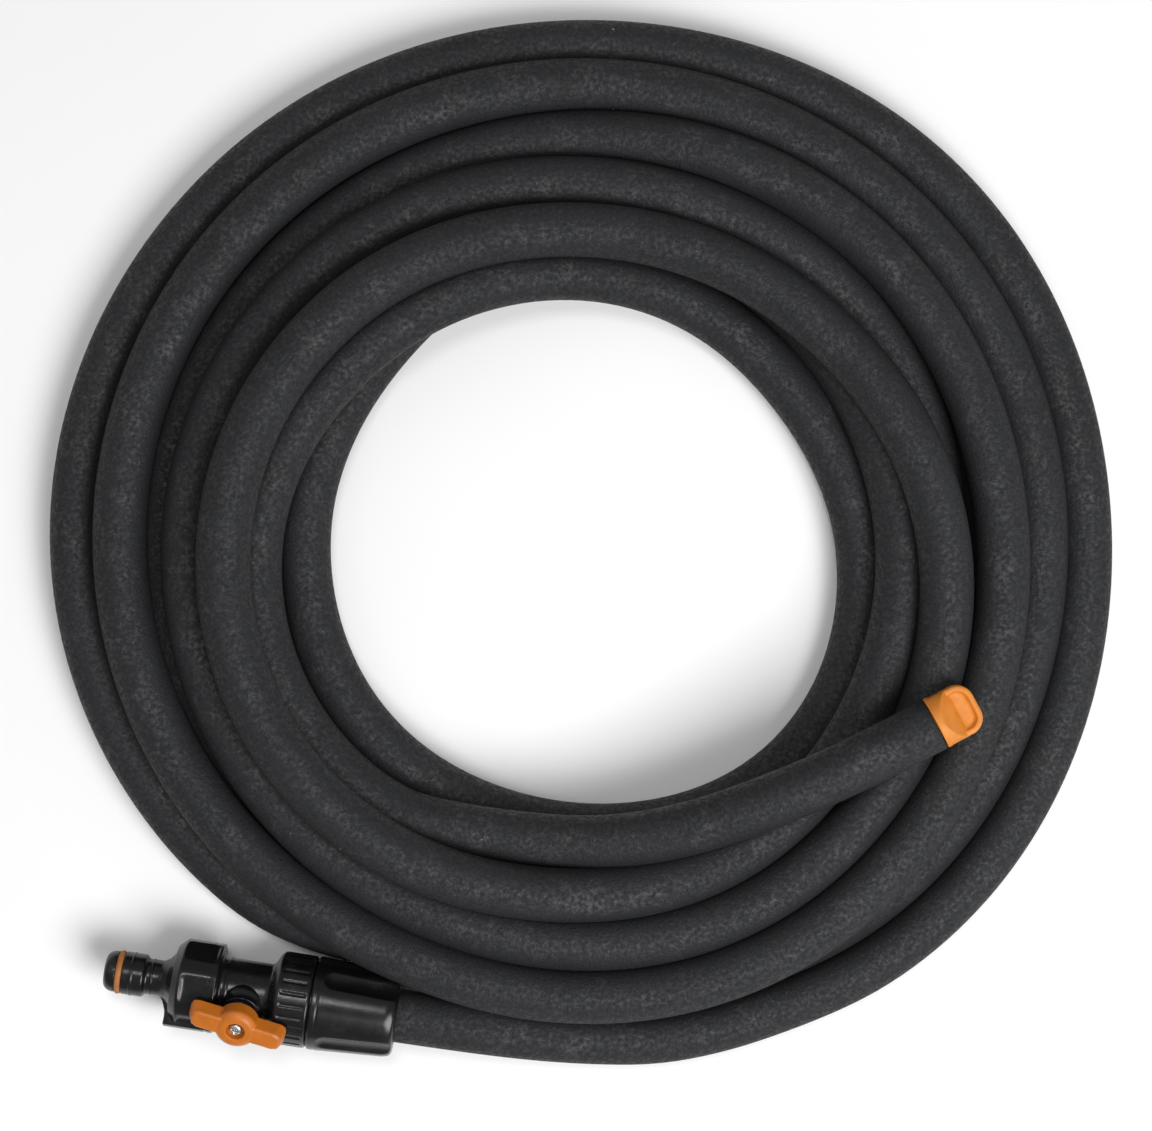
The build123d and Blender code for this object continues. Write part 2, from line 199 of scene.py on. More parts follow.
def moulded(name, colour, pale_marks, roughness, grain=0.00002, gloss=0.5):
    """Injection-moulded plastic: faint mottling, fine orange peel, small scratches, handling marks."""
    look = Look(name, Specular_IOR_Level=gloss)
    place = look.place()
    mottle = look.noise(place, 160, 3.0)
    peel = look.noise(place, 900, 2.0)
    marks = look.noise(look.scaled(place, (300, 2600, 900)), 1.0, 2.0, 0.7)
    smears = look.noise(place, 55, 5.0, 0.7)
    base = look.mix(look.ramp(mottle, (0.3, 0.0), (0.7, 1.0)), colour, tuple(0.82 * c for c in colour))
    base = look.mix(look.ramp(marks, (0.66, 0.0), (0.76, 0.55)), base, pale_marks)
    base = look.mix(look.ramp(smears, (0.55, 0.0), (0.75, 0.35)), base, pale_marks)
    rough = look.ramp(smears, (0.3, roughness), (0.75, min(1.0, roughness + 0.18)))
    normal = look.bump(mottle, grain * 4, 0.4)
    normal = look.bump(peel, grain, 0.6, under=normal)
    normal = look.bump(marks, grain, 0.3, under=normal)
    return look.set(Base_Color=base, Roughness=rough, Normal=normal)


def elastomer(name, colour, dusty, roughness=0.55):
    """Soft seal rubber: satin, with dust in the grain."""
    look = Look(name, Specular_IOR_Level=0.4)
    place = look.place()
    grain = look.noise(place, 1300, 3.0, 0.6)
    dust = look.noise(place, 240, 4.0, 0.65)
    base = look.mix(look.ramp(dust, (0.45, 0.0), (0.75, 0.6)), colour, dusty)
    base = look.mix(look.ramp(grain, (0.35, 0.35), (0.55, 0.0)), base, tuple(0.5 * c for c in colour))
    rough = look.ramp(dust, (0.3, roughness), (0.8, min(1.0, roughness + 0.25)))
    return look.set(Base_Color=base, Roughness=rough, Normal=look.bump(grain, 0.00005, 0.5))


def turned_steel():
    """Zinc-plated screw: fine turning marks and a slight stain."""
    look = Look("bright_steel", Metallic=1.0, Specular_IOR_Level=0.5)
    place = look.place()
    lines = look.noise(look.scaled(place, (900, 900, 9000)), 1.0, 2.0)
    stain = look.noise(place, 500, 3.0, 0.6)
    base = look.mix(look.ramp(stain, (0.4, 0.0), (0.75, 0.7)), (0.66, 0.66, 0.65), (0.42, 0.40, 0.37))
    rough = look.ramp(stain, (0.3, 0.24), (0.8, 0.46))
    return look.set(Base_Color=base, Roughness=rough, Normal=look.bump(lines, 0.00002, 0.4))


HOSE = rubber_hose()
BLACK = moulded("glossy_black_plastic", (0.0050, 0.0050, 0.0056), (0.028, 0.028, 0.030), 0.16, gloss=0.42)
GREY = moulded("grey_plastic_natural", (0.20, 0.20, 0.20), (0.34, 0.34, 0.33), 0.4)
ORANGE = moulded("orange_handle_plastic", (0.52, 0.140, 0.008), (0.62, 0.22, 0.04), 0.34, gloss=0.45)
PLUG = moulded("orange_plug_plastic", (0.65, 0.212, 0.022), (0.74, 0.32, 0.08), 0.42, gloss=0.4)
SEAL = moulded("white_seal_plastic", (0.72, 0.72, 0.69), (0.80, 0.79, 0.75), 0.34)
ORANGE_SEAL = elastomer("orange_seal_rubber", (0.36, 0.125, 0.030), (0.47, 0.21, 0.08))
BLACK_SEAL = elastomer("black_seal_rubber", (0.014, 0.014, 0.015), (0.06, 0.06, 0.06))
STEEL = turned_steel()

SLOT_LOOKS = {
    "hose_rubber": HOSE,
    "black_plastic": BLACK,
    "grey_plastic": GREY,
    "white_seal": SEAL,
    "orange_plastic": ORANGE,
    "plug_plastic": PLUG,
    "orange_rubber": ORANGE_SEAL,
    "black_rubber": BLACK_SEAL,
    "steel": STEEL,
}


def finish_cad_node(name, slot):
    data = bpy.data.objects[name].data
    if not data.materials:
        data.materials.append(None)
    for index in range(len(data.materials)):
        data.materials[index] = SLOT_LOOKS[slot]


# ---- hose ----

HOSE_R = 9.75 * MM
HOSE_BORE_R = 6.5 * MM
TURN_POINTS = 36
COIL_CENTRE = Vector((0, -2 * MM, 0))

# The lead, in the valve's frame, and the tail, in the world: the same points as the CAD's runs.
LEAD_ROUTE = [(80, 0, 0), (126, 0, 0), (172, 0.8, -6.6), (214, 7.3, -7.25)]
TAIL_ROUTE = [(0, -109.5, 29), (37.5, -104, 36), (73, -90.8, 42.5), (102.7, -77.2, 46.5), (127, -64.1, 47.5)]

# The height, in millimetres, of the middle of a strand lying on the floor.
LOWEST = 9.75
ON_FLOOR = (LOWEST,) * 8

# Each turn of the coil, from under the valve and anticlockwise: its radius and its
# height at eight evenly spaced directions.
TURNS = [
    ((179.4, 186.0, 184.6, 188.6, 182.6, 185.0, 184.6, 174.6), ON_FLOOR),
    ((163.0, 170.2, 169.6, 170.5, 167.7, 168.3, 166.3, 162.5), (9.75, 15, 20, 24, 25, 25, 25, 26)),
    ((159.2, 156.5, 152.8, 151.4, 150.6, 152.0, 154.0, 146.5), (27.5, 28, 27.5, 25, 14, 10, 9.75, 9.75)),
    ((137.5, 147.5, 149.0, 147.0, 133.0, 126.0, 117.2, 118.7), ON_FLOOR),
    ((125.5, 130.0, 132.5, 134.0, 133.5, 138.7, 142.2, 143.0), (9.75, 9.75, 14, 23, 27.5, 27, 26, 26)),
    ((141.0, 138.5, 130.0, 118.5, 115.0, 119.5, 125.8, 127.8), (27, 27, 38, 34, 34, 38, 39, 39)),
    ((124.7, 122.3, 121.0, 119.0, 118.0, 103.5, 102.8, 106.4), (30, 26, 22, 11, 9.75, 9.75, 9.75, 9.75)),
    ((109.0, 112.5, 108.2, 104.5, 104.2, 107.6, 117.8, 117.8), (9.75, 9.75, 9.75, 9.75, 15, 27, 26, 26)),
    ((107.5,), (28,)),
]
# Where the first turn comes round again it is pushed inwards to pass the valve's collar, with
# room for the collar's travel, over this many degrees before and after.
PUSH_AT, PUSH_BEFORE, PUSH_AFTER, PUSH = 250.0, 10.5, 15.0, 14.0


def between(values, position):
    """A smooth value between the neighbours in a list."""
    index = min(int(position), len(values) - 2)
    part = position - index
    before = values[max(index - 1, 0)]
    here, there = values[index], values[index + 1]
    after = values[min(index + 2, len(values) - 1)]
    third = 3 * (here - there) + after - before
    second = 2 * before - 5 * here + 4 * there - after + part * third
    return here + 0.5 * part * (there - before + part * second)


def coil_points():
    """Control points of the turns, a little outside the line because the spline cuts inside them."""
    radii = [radius for turn in TURNS for radius in turn[0]]
    heights = [height for turn in TURNS for height in turn[1]]
    outward = 1 / math.cos(math.pi / TURN_POINTS)
    points = []
    first = TURN_POINTS // 12
    for step in range(first, (len(TURNS) - 1) * TURN_POINTS - first + 1):
        position = 8 * step / TURN_POINTS
        angle = math.radians(270) + 2 * math.pi * step / TURN_POINTS
        past_collar = math.degrees(angle) - 360 - PUSH_AT
        width = PUSH_BEFORE if past_collar < 0 else PUSH_AFTER
        radius = (between(radii, position) - PUSH * math.exp(-((past_collar / width) ** 2))) * outward * MM
        height = max(between(heights, position), LOWEST) * MM
        points.append(COIL_CENTRE + Vector((radius * math.cos(angle), radius * math.sin(angle), height)))
    return points


def nurbs_line(points, resolution=8):
    """The line of one smooth open NURBS spline with these control points."""
    curve = bpy.data.curves.new("line", "CURVE")
    curve.dimensions = "3D"
    curve.resolution_u = resolution
    spline = curve.splines.new("NURBS")
    spline.points.add(len(points) - 1)
    for control, point in zip(spline.points, points):
        control.co = (*point, 1)
    spline.order_u = 3
    spline.use_endpoint_u = True
    spline.resolution_u = resolution
    holder = bpy.data.objects.new("line", curve)
    mesh = bpy.data.meshes.new_from_object(holder)
    line = [vertex.co.copy() for vertex in mesh.vertices]
    bpy.data.objects.remove(holder)
    bpy.data.meshes.remove(mesh)
    bpy.data.curves.remove(curve)
    return line


def evenly(line, spacing):
    """The same line, at even spacing."""
    lengths = [0.0]
    for a, b in zip(line, line[1:]):
        lengths.append(lengths[-1] + (b - a).length)
    count = max(2, round(lengths[-1] / spacing))
    out, index = [], 0
    for step in range(count + 1):
        wanted = lengths[-1] * step / count
        while index < len(line) - 2 and lengths[index + 1] < wanted:
            index += 1
        span = lengths[index + 1] - lengths[index]
        part = (wanted - lengths[index]) / span if span else 0.0
        out.append(line[index].lerp(line[index + 1], min(1.0, part)))
    return out, lengths[-1]


# The valve as the hose meets it, with room for the collar's travel, in the valve's frame:
# (from x, to x, radius).
VALVE_STRETCHES = [(15, 42, 16.8), (42, 62, 11.5), (62, 88, 17.1), (88, 100, 16.9), (100, 116, 16.2)]
VALVE_MARGIN = 0.6 * MM
STRAND_GAP = 19.4 * MM
HIGHEST = 47.0 * MM
SAME_STRAND = 0.08  # points nearer than this along the hose don't push each other
SIDEWAYS = 0.45  # strands move less sideways than up, but the inner ones still come some mm inwards
RIDE_UP = 0.35
EASE, STIFFNESS = 1.2, 0.08
PULL_BACK, SINK, LAST_ROUNDS = 0.01, 0.02 * MM, 80


def settled(control, fixed_first, fixed_last, rounds=420, samples=4):
    """The control points, moved until the strands rest on each other, on the floor and beside the
    valve, with little overlap left. The lead's and the tail's own points stay put."""
    points = np.array([list(point) for point in control])
    start = points.copy()
    free = np.ones(len(points))
    free[:fixed_first] = 0
    free[len(points) - fixed_last:] = 0
    middles = np.arange(1, len(points) - 1)
    part = (np.arange(samples) + 0.5) / samples
    weights = np.stack([0.5 * (1 - part) ** 2, 0.5 + part - part**2, 0.5 * part**2], axis=1)
    into_valve = np.array(valve.inverted())
    valve_turn = into_valve[:3, :3]

    for turn in range(rounds):
        trios = np.stack([points[middles - 1], points[middles], points[middles + 1]], axis=1)
        line = np.einsum("sw,mwc->msc", weights, trios).reshape(-1, 3)
        travelled = np.concatenate([[0], np.cumsum(np.linalg.norm(np.diff(line, axis=0), axis=1))])
        push = np.zeros_like(line)
        touching = np.zeros(len(line))

        for low in range(0, len(line), 300):
            apart = line[low:low + 300, None, :] - line[None, :, :]
            gap = np.linalg.norm(apart, axis=2)
            far = np.abs(travelled[low:low + 300, None] - travelled[None, :]) > SAME_STRAND
            here, other = np.nonzero((gap < STRAND_GAP) & far)
            way = apart[here, other] / gap[here, other][:, None]
            # Of two strands at one height, the one wound later rides up.
            level = np.abs(way[:, 2]) < 0.25
            way[level, 2] += np.where(here[level] + low > other[level], RIDE_UP, -RIDE_UP)
            way /= np.linalg.norm(way, axis=1)[:, None]
            way[:, :2] *= SIDEWAYS
            move = way * (0.5 * (STRAND_GAP - gap[here, other]))[:, None]
            np.add.at(push, here + low, move)
            np.add.at(touching, here + low, 1)
        push /= np.maximum(1, touching / 2)[:, None]

        local = line @ valve_turn.T + into_valve[:3, 3]
        off_axis = np.hypot(local[:, 1], local[:, 2])
        for begin, end, radius in VALVE_STRETCHES:
            room = radius * MM + HOSE_R + VALVE_MARGIN - off_axis
            inside = (local[:, 0] > begin * MM) & (local[:, 0] < end * MM) & (room > 0)
            away = np.zeros_like(local)
            away[:, 1:] = local[:, 1:] / np.maximum(off_axis, 1e-6)[:, None]
            push[inside] += (away @ valve_turn)[inside] * room[inside][:, None]

        shares = push.reshape(len(middles), samples, 3)
        moved = np.zeros_like(points)
        total = np.zeros(len(points))
        for w in range(3):
            np.add.at(moved, middles + w - 1, np.einsum("s,msc->mc", weights[:, w], shares))
            np.add.at(total, middles + w - 1, weights[:, w].sum())
        moved /= np.maximum(total, 1e-6)[:, None]
        if turn < rounds - LAST_ROUNDS:
            moved[:, :2] += PULL_BACK * (start - points)[:, :2]
            moved[:, 2] -= SINK
        points += EASE * moved * free[:, None]
        # The hose is stiff, so a bend spreads along it.
        bent = points[:-2] - 2 * points[1:-1] + points[2:] - (start[:-2] - 2 * start[1:-1] + start[2:])
        points[1:-1] += STIFFNESS * bent * free[1:-1, None]
        loose = free > 0
        points[loose, 2] = np.clip(points[loose, 2], HOSE_R, HIGHEST)
    return [Vector(point) for point in points]


def ride_as(piece, body, *materials, smooth=True, replaces=()):
    for material in materials:
        piece.data.materials.append(material)
    if smooth:
        for polygon in piece.data.polygons:
            polygon.use_smooth = True
    bpy.context.scene.collection.objects.link(piece)
    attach(piece, body)
    if replaces:
        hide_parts(*replaces)
    return piece


def hose_tube(name, line, sides=40):
    """The hose's outer skin, its two cut ends and a stretch of bore inside each end."""
    mesh = bpy.data.meshes.new(name)
    made = bmesh.new()
    uv = made.loops.layers.uv.new("UVMap")
    frames, previous = [], None
    for index, point in enumerate(line):
        ahead = (line[min(index + 1, len(line) - 1)] - line[max(index - 1, 0)]).normalized()
        if previous is None:
            side = ahead.cross(Vector((0, 0, 1))).normalized()
        else:
            side = (previous - previous.dot(ahead) * ahead).normalized()
        previous = side
        frames.append((point, side, ahead.cross(side)))

    def ring(index, radius, shift=0.0):
        point, side, up = frames[index]
        ahead = side.cross(up)
        return [
            made.verts.new(
                point + shift * ahead
                + radius * (math.cos(2 * math.pi * k / sides) * side + math.sin(2 * math.pi * k / sides) * up)
            )
            for k in range(sides)
        ]

    spacing = (line[1] - line[0]).length

    def bridge(one, other, u_one, u_other, radius=HOSE_R):
        for k in range(sides):
            face = made.faces.new((one[k], one[(k + 1) % sides], other[(k + 1) % sides], other[k]))
            v = [2 * math.pi * radius * j / sides for j in (k, k + 1, k + 1, k)]
            for loop, u, value in zip(face.loops, (u_one, u_one, u_other, u_other), v):
                loop[uv].uv = (u, value)

    last = len(line) - 1
    edge = 0.5 * MM
    bore_depth = 6
    chain = [(bore_depth, HOSE_BORE_R, 0.0), (0, HOSE_BORE_R, edge * 0.6), (0, HOSE_BORE_R + edge * 0.6, 0.0)]
    chain += [(0, HOSE_R - edge, 0.0), (0, HOSE_R, edge)]
    chain += [(index, HOSE_R, 0.0) for index in range(1, last)]
    chain += [(last, HOSE_R, -edge), (last, HOSE_R - edge, 0.0), (last, HOSE_BORE_R + edge * 0.6, 0.0)]
    chain += [(last, HOSE_BORE_R, -edge * 0.6), (last - bore_depth, HOSE_BORE_R, 0.0)]
    rings = [ring(*link) for link in chain]
    travelled = 0.0
    for a, b in zip(range(len(chain)), range(1, len(chain))):
        step = max(abs(chain[b][0] - chain[a][0]) * spacing, edge)
        bridge(rings[a], rings[b], travelled, travelled + step)
        travelled += step
    made.faces.new(rings[0])
    made.faces.new(list(reversed(rings[-1])))
    bmesh.ops.recalc_face_normals(made, faces=made.faces)
    made.to_mesh(mesh)
    made.free()
    return bpy.data.objects.new(name, mesh)


control = [valve @ (MM * Vector(point)) for point in LEAD_ROUTE]
control += coil_points()
control += [MM * Vector(point) for point in TAIL_ROUTE]
control = settled(control, len(LEAD_ROUTE), len(TAIL_ROUTE))
hose_line, hose_length = evenly(nurbs_line(control), 5 * MM)
print("hose length", round(hose_length, 4), "points", len(hose_line))

hose = ride_as(
    hose_tube("hose", hose_line), "hose", HOSE, replaces=("hose_lead", "hose_coil", "hose_tail")
)

# ---- turned and moulded pieces ----


# How far along each rounded corner its points lie.
ROUNDING_STEPS = (0.0, 0.17, 0.34, 0.5, 0.66, 0.83, 1.0)


def outline(corners, step, closed, counts=None):
    """The points of a profile with its corners (x, radius, rounding) rounded, and the count on each run."""
    rounds = []
    for index, (x, r, rounding) in enumerate(corners):
        here = Vector((x, r))
        ends = [Vector(corners[index - 1][:2]), Vector(corners[(index + 1) % len(corners)][:2])]
        if rounding <= 0 or (not closed and index in (0, len(corners) - 1)):
            rounds.append([here])
            continue
        a, b = (here + (end - here).normalized() * min(rounding, 0.45 * (end - here).length) for end in ends)
        rounds.append([a.lerp(here, t).lerp(here.lerp(b, t), t) for t in ROUNDING_STEPS])
    points, used = [], []
    for index, arc in enumerate(rounds):
        points += arc
        if not closed and index == len(rounds) - 1:
            break
        end = rounds[(index + 1) % len(rounds)][0]
        number = counts[index] if counts else max(1, math.ceil((end - arc[-1]).length / step))
        used.append(number)
        points += [arc[-1].lerp(end, k / number) for k in range(1, number)]
    return points, used


def turned(made, place, corners, sides=128, step=0.6, other=None, weight=None, shape=None, closed=True):
    """Adds a form turned about the place's X. other and weight(angle) change its profile with the
    angle from up; shape(x, radius, angle) then moves each point in or out, or along."""
    first, counts = outline(corners, step, closed)
    second = outline(other, step, closed, counts)[0] if other else first
    rings = []
    for k in range(sides):
        angle = 2 * math.pi * k / sides
        part = weight(angle) if other else 0.0
        ring = []
        for a, b in zip(first, second):
            x, r = a.lerp(b, part)
            if shape:
                x, r = shape(x, r, angle)
            spot = Vector((x * MM, r * MM * math.sin(angle), r * MM * math.cos(angle)))
            ring.append(made.verts.new(place @ spot))
        rings.append(ring)
    span = len(first) if closed else len(first) - 1
    for k in range(sides):
        one, two = rings[k], rings[(k + 1) % sides]
        for j in range(span):
            n = (j + 1) % len(first)
            made.faces.new((one[j], two[j], two[n], one[n]))


def piece_from(name, made):
    bmesh.ops.remove_doubles(made, verts=made.verts, dist=1e-7)
    bmesh.ops.recalc_face_normals(made, faces=made.faces)
    mesh = bpy.data.meshes.new(name)
    made.to_mesh(mesh)
    made.free()
    return bpy.data.objects.new(name, mesh)


def remeshed(piece, voxel, smoothing):
    """The same piece as one skin, with its inner edges and corners softened."""
    scene = bpy.context.scene.collection
    scene.objects.link(piece)
    remesh = piece.modifiers.new("skin", "REMESH")
    remesh.mode = "VOXEL"
    remesh.voxel_size = voxel
    if smoothing:
        soften = piece.modifiers.new("soften", "SMOOTH")
        soften.factor = 0.5
        soften.iterations = smoothing
    bpy.context.view_layer.update()
    evaluated = piece.evaluated_get(bpy.context.evaluated_depsgraph_get())
    mesh = bpy.data.meshes.new_from_object(evaluated)
    scene.objects.unlink(piece)
    old = piece.data
    piece.modifiers.clear()
    piece.data = mesh
    bpy.data.meshes.remove(old)
    mesh.name = piece.name
    return piece


def fade(value, low, high):
    """0 below low, 1 above high, smooth between."""
    t = min(1.0, max(0.0, (value - low) / (high - low)))
    return t * t * (3 - 2 * t)


def turn_between(angle, centre):
    """How far an angle is from another, in degrees, the short way round."""
    return (math.degrees(angle) - centre + 180) % 360 - 180


def soft_min(a, b, k):
    h = max(k - abs(a - b), 0.0) / k
    return min(a, b) - 0.25 * k * h * h


# Inlet adaptor: nipple, flare and threaded grip skirt, with a square-fronted lug on one side.
SKIRT_R, SKIRT_END, SOCKET_R = 16.0, 42.0, 13.4
NOSE = [
    (0, 4.5, 0.3), (0, 5.7, 0.5), (1.1, 6.9, 0.8), (2.6, 7.45, 0.6), (4.1, 7.5, 0.2),
    (4.1, 5.55, 0.1), (6.7, 5.55, 0.1), (6.7, 7.8, 0.25), (9.5, 7.8, 0.1), (9.85, 8.0, 0.15),
    (10.3, 8.0, 0.15), (10.65, 7.8, 0.1), (14.3, 7.8, 0.5), (15.5, 6.5, 0.5), (16.9, 6.5, 0.1),
    (17.15, 6.72, 0.1), (17.6, 6.72, 0.1), (17.85, 6.5, 0.1),
]
SKIRT_BACK = [(SKIRT_END, SOCKET_R, 0.2), (27.4, SOCKET_R, 0.3), (27.4, 4.5, 0.3)]
SKIRT_PLAIN = [
    (20.9, 6.5, 1.0), (23.2, 8.1, 0.8), (25.2, 10.8, 0.7), (25.4, 13.0, 0.4), (28.4, 16.0, 0.7),
    (42.0, 16.0, 0.5),
]
SKIRT_LUG = [
    (20.9, 6.5, 1.0), (22.4, 8.1, 0.8), (23.9, 11.6, 0.7), (24.2, 13.8, 0.2), (24.2, 16.8, 0.35),
    (42.0, 16.8, 0.5),
]


def skirt_shape(x, r, angle):
    if r > 14.2 and 28.5 < x < 41.6:
        off = abs((math.degrees(angle) + 30) % 60 - 30)
        lug = fade(32 - abs(turn_between(angle, -90)), 0, 5)
        flat = (SKIRT_R - 0.9) / math.cos(math.radians(off))
        edge = fade(x, 28.8, 30.2) * fade(41.2 - x, 0, 0.8) * (1 - lug)
        r += (soft_min(r, flat, 0.25) - r) * edge
    if r > 15.4 and x > 24.3:
        r -= 0.22 * math.exp(-(((x - 39.6) / 0.35) ** 2))
    return x, r


adaptor_mesh = bmesh.new()
turned(
    adaptor_mesh, valve, NOSE + SKIRT_PLAIN + SKIRT_BACK,
    sides=240, step=0.7, other=NOSE + SKIRT_LUG + SKIRT_BACK,
    weight=lambda angle: fade(29 - abs(turn_between(angle, -90)), 0, 2.2), shape=skirt_shape,
)
adaptor = ride_as(piece_from("nipple_adaptor", adaptor_mesh), "adaptor", BLACK, replaces=("tap_adaptor",))

# Valve body: threaded stubs, barrel, ribbed outlet section and the boss round the stem.


def thread(x, angle, start, pitch, depth):
    """How far a screw thread's flank lies under its crest."""
    part = ((x - start) / pitch - angle / (2 * math.pi)) % 1.0
    return depth * fade(abs(2 * part - 1), 0.15, 0.85)


def body_shape(x, r, angle):
    if r > 12.6 and 30.6 < x < 41.6:
        r -= thread(x, angle, 30.0, 1.814, 1.05) * fade(x, 30.6, 31.6) * fade(41.6 - x, 0, 1.2)
    elif r > 13.6 and 77.0 < x < 87.8:
        r -= thread(x, angle, 77.0, 3.0, 1.15) * fade(x, 77.0, 78.0) * fade(87.8 - x, 0, 0.9)
    elif r > 16.2 and 64.8 < x < 75.4:
        off = abs((math.degrees(angle) + 7.5) % 15 - 7.5)
        r -= 0.42 * fade(2.2 - off, 0, 1.1) * fade(x, 65.2, 66.0) * fade(75.0 - x, 0, 0.7)
    elif 11.0 < r < 12.0 and 43.5 < x < 61.0:
        for side in (61.0, 241.0):
            off = turn_between(angle, side) * math.pi / 180 * r
            r += 0.12 * math.exp(-((off / 0.3) ** 2))
        r += 0.25 * math.exp(-(((x - 45.2) / 0.5) ** 2))
    return x, r


body_mesh = bmesh.new()
turned(
    body_mesh, valve,
    [
        (30.0, 5.0, 0.2), (30.0, 12.3, 0.3), (30.8, 13.1, 0.3), (42.1, 13.1, 0.3), (43.0, 11.5, 0.5),
        (61.0, 11.5, 1.4), (62.9, 15.6, 0.7), (64.3, 16.9, 0.6), (75.7, 16.9, 0.4), (76.4, 16.2, 0.2),
        (76.4, 14.2, 0.1), (87.6, 14.2, 0.3), (88.0, 13.6, 0.2), (88.0, 10.2, 0.2), (79.0, 10.2, 0.1),
        (79.0, 9.2, 0.1), (43.6, 9.2, 0.1), (43.6, 5.0, 0.1),
    ],
    sides=288, step=0.3, shape=body_shape,
)
turned(
    body_mesh, stem @ ABOUT_Z,
    [(6.0, 5.6, 0), (6.0, 8.9, 0), (9.6, 8.7, 0.8), (11.4, 7.35, 0.9), (13.5, 7.3, 0.35), (13.5, 5.6, 0.2)],
    sides=128, step=0.5,
)
turned(
    body_mesh, stem @ Matrix.Translation((8.35 * MM, 0, 0)) @ ABOUT_Z,
    [(6.0, 0, 0), (6.0, 1.45, 0), (14.6, 1.25, 0.4), (15.0, 0, 0)], sides=32, step=0.5, closed=False,
)
body = ride_as(piece_from("barrel", body_mesh), "hose", BLACK, replaces=("valve_body",))

# Collar nut: slightly tapered, with four long thumb scallops open to the rear.
COLLAR_START, COLLAR_END, COLLAR_R, COLLAR_REAR_R = 76.8, 108.0, 17.0, 15.4
SCALLOP_R, SCALLOP_DEPTH, SCALLOP_TURN, SCALLOP_START = 6.0, 1.3, 49.0, 7.5


def collar_shape(x, r, angle):
    if r > 13.5 and x > 78.0:
        slope = (COLLAR_R - COLLAR_REAR_R) / (COLLAR_END - 6.0 - COLLAR_START)
        off = (math.degrees(angle) + SCALLOP_TURN + 45) % 90 - 45
        aside = r * math.sin(math.radians(off))
        before = max(0.0, COLLAR_START + SCALLOP_START - x)
        room = SCALLOP_R**2 - aside**2 - before**2
        if room > 0:
            beyond = max(0.0, x - COLLAR_START - SCALLOP_START)
            centre = COLLAR_R - 0.2 + SCALLOP_R - SCALLOP_DEPTH - slope * beyond
            r = soft_min(r, centre - math.sqrt(room), 0.35)
        r -= 0.16 * math.exp(-(((x - 79.4) / 0.3) ** 2))
    return x, r


collar_mesh = bmesh.new()
turned(
    collar_mesh, valve,
    [
        (76.8, 14.5, 0.2), (76.8, 16.6, 0.3), (77.3, 17.0, 0.3), (79.8, 17.0, 0.8),
        (105.0, 15.45, 1.2), (107.2, 14.8, 0.8), (108.0, 13.5, 0.6), (108.0, 10.4, 0.3),
        (104.2, 10.4, 0.1), (103.4, 11.5, 0.2), (90.6, 13.5, 0.1), (90.6, 14.5, 0.1),
    ],
    sides=320, step=0.45, shape=collar_shape,
)
collar = ride_as(piece_from("hose_collar", collar_mesh), "collar", BLACK, replaces=("collar_nut",))

# Handle: a round hub with a sunk screw seat and two wings whose sides slope.
WING_LOW, WING_HIGH = 17.8, 23.6


def wing(made, place):
    inset = 1.45
    low = [
        (4.0, -4.9), (9.0, -4.8), (15.6, -4.8), (17.4, -4.1), (18.0, -2.4),
        (17.7, 2.4), (17.1, 4.0), (15.3, 4.8), (9.0, 4.8), (4.0, 4.9),
    ]
    levels = [
        (WING_LOW, 0.35), (WING_LOW + 0.35, 0.0),
        (WING_HIGH - 0.6, inset - 0.15), (WING_HIGH, inset + 0.55),
    ]
    rings = []
    for height, off in levels:
        ring = []
        for x, y in low:
            reach = x - off if x > 14 else x
            side = y - math.copysign(off, y) * min(1, abs(y) / 3)
            ring.append(made.verts.new(place @ Vector((reach * MM, side * MM, height * MM))))
        rings.append(ring)
    count = len(low)
    for one, two in zip(rings, rings[1:]):
        for k in range(count):
            made.faces.new((one[k], one[(k + 1) % count], two[(k + 1) % count], two[k]))
    made.faces.new(list(reversed(rings[0])))
    made.faces.new(rings[-1])


handle_mesh = bmesh.new()
turned(
    handle_mesh, grip @ ABOUT_Z,
    [
        (16.5, 2.97, 0), (16.5, 7.6, 0.3), (16.9, 7.8, 0.2), (22.2, 7.8, 0.8),
        (24.0, 6.0, 1.0), (24.0, 3.45, 0.3), (21.6, 3.25, 0.1), (21.6, 1.7, 0),
        (20.1, 1.7, 0), (20.1, 2.97, 0),
    ],
    sides=96, step=0.5,
)
wing(handle_mesh, grip)
wing(handle_mesh, grip @ Matrix.Rotation(math.pi, 4, "Z"))
handle = remeshed(piece_from("wing_handle", handle_mesh), 0.00022, 5)
ride_as(handle, "valve_handle", ORANGE, replaces=("handle",))


# The screw's cross: half its arm's width, the arm's reach and its depth.
ARM_HALF, ARM_REACH, ARM_DEPTH = 0.42, 1.6, 0.95


def cross_recess(x, r, angle):
    aside, ahead = abs(r * math.sin(angle)), abs(r * math.cos(angle))
    if x > 22.6 and r < 1.75:
        one = fade(ARM_HALF - aside, 0, 0.1) * fade(ARM_REACH - ahead, 0, 0.15)
        two = fade(ARM_HALF - ahead, 0, 0.1) * fade(ARM_REACH - aside, 0, 0.15)
        x -= ARM_DEPTH * max(one, two)
    return x, r


screw_mesh = bmesh.new()
turned(
    screw_mesh, grip @ ABOUT_Z,
    [
        (12.7, 0, 0), (12.7, 1.0, 0), (13.2, 1.25, 0), (21.65, 1.25, 0),
        (21.65, 2.4, 0.15), (22.7, 2.4, 0.5), (23.4, 1.7, 0.6), (23.45, 0, 0),
    ],
    sides=128, step=0.09, shape=cross_recess, closed=False,
)
screw = ride_as(piece_from("cross_head_screw", screw_mesh), "valve_handle", STEEL, replaces=("handle_screw",))

